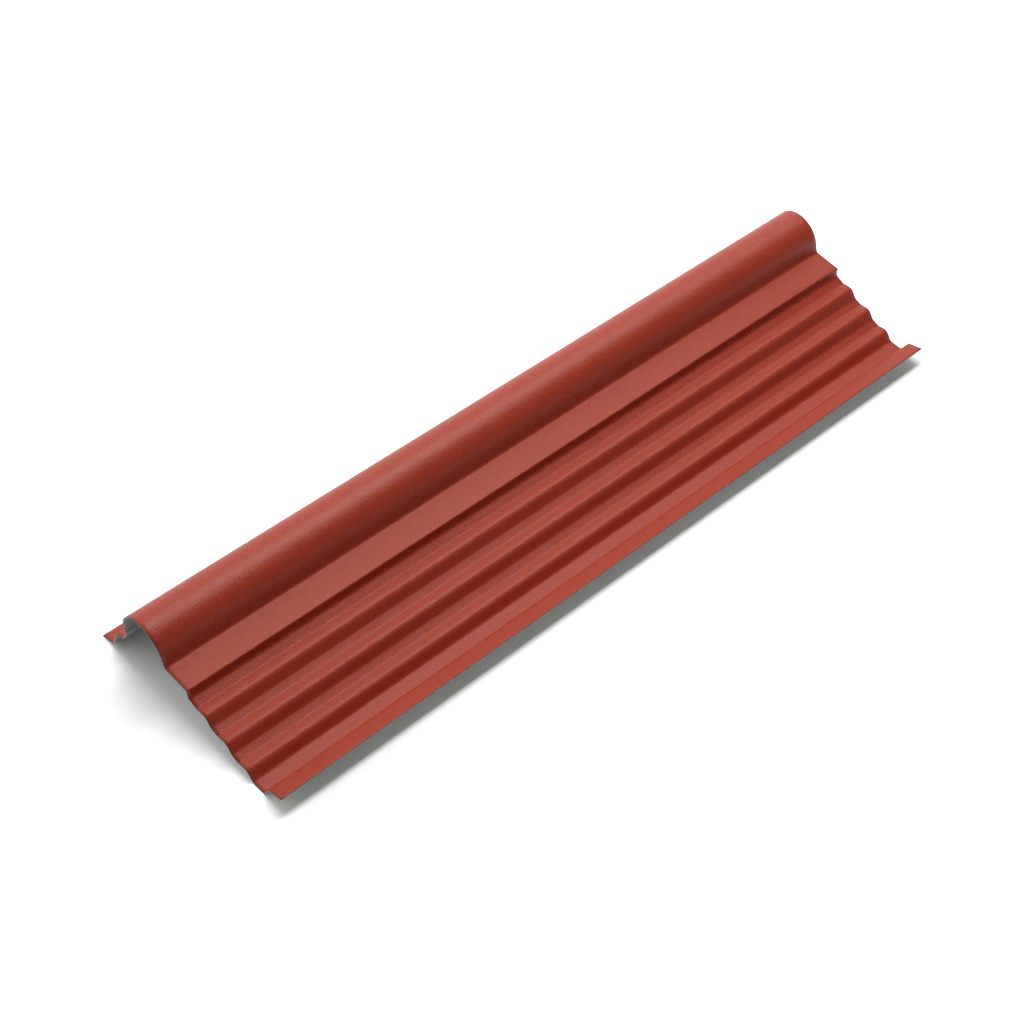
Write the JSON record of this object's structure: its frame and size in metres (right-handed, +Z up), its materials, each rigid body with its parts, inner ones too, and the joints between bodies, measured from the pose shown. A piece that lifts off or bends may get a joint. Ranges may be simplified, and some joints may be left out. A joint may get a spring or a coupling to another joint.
{
  "type": "roof hip capping",
  "caption": "Long roof capping of thin red coated steel sheet: a half-round roll between a short stepped edge and a wide fluted side with a turned-out lip.",
  "frame": {"origin": "on the floor, under the middle of the capping's bounding box", "axes": "+X along the length, -Y towards the fluted side, +Z up as the piece lies on a level floor"},
  "size_m": [0.91, 0.2798, 0.0894],
  "materials": {
    "coated_steel": "matte brick-red coat with a fine grain on the weather face, grey coat underneath"
  },
  "bodies": {
    "root": {"capping_sheet": "coated_steel"}
  },
  "joints": []
}
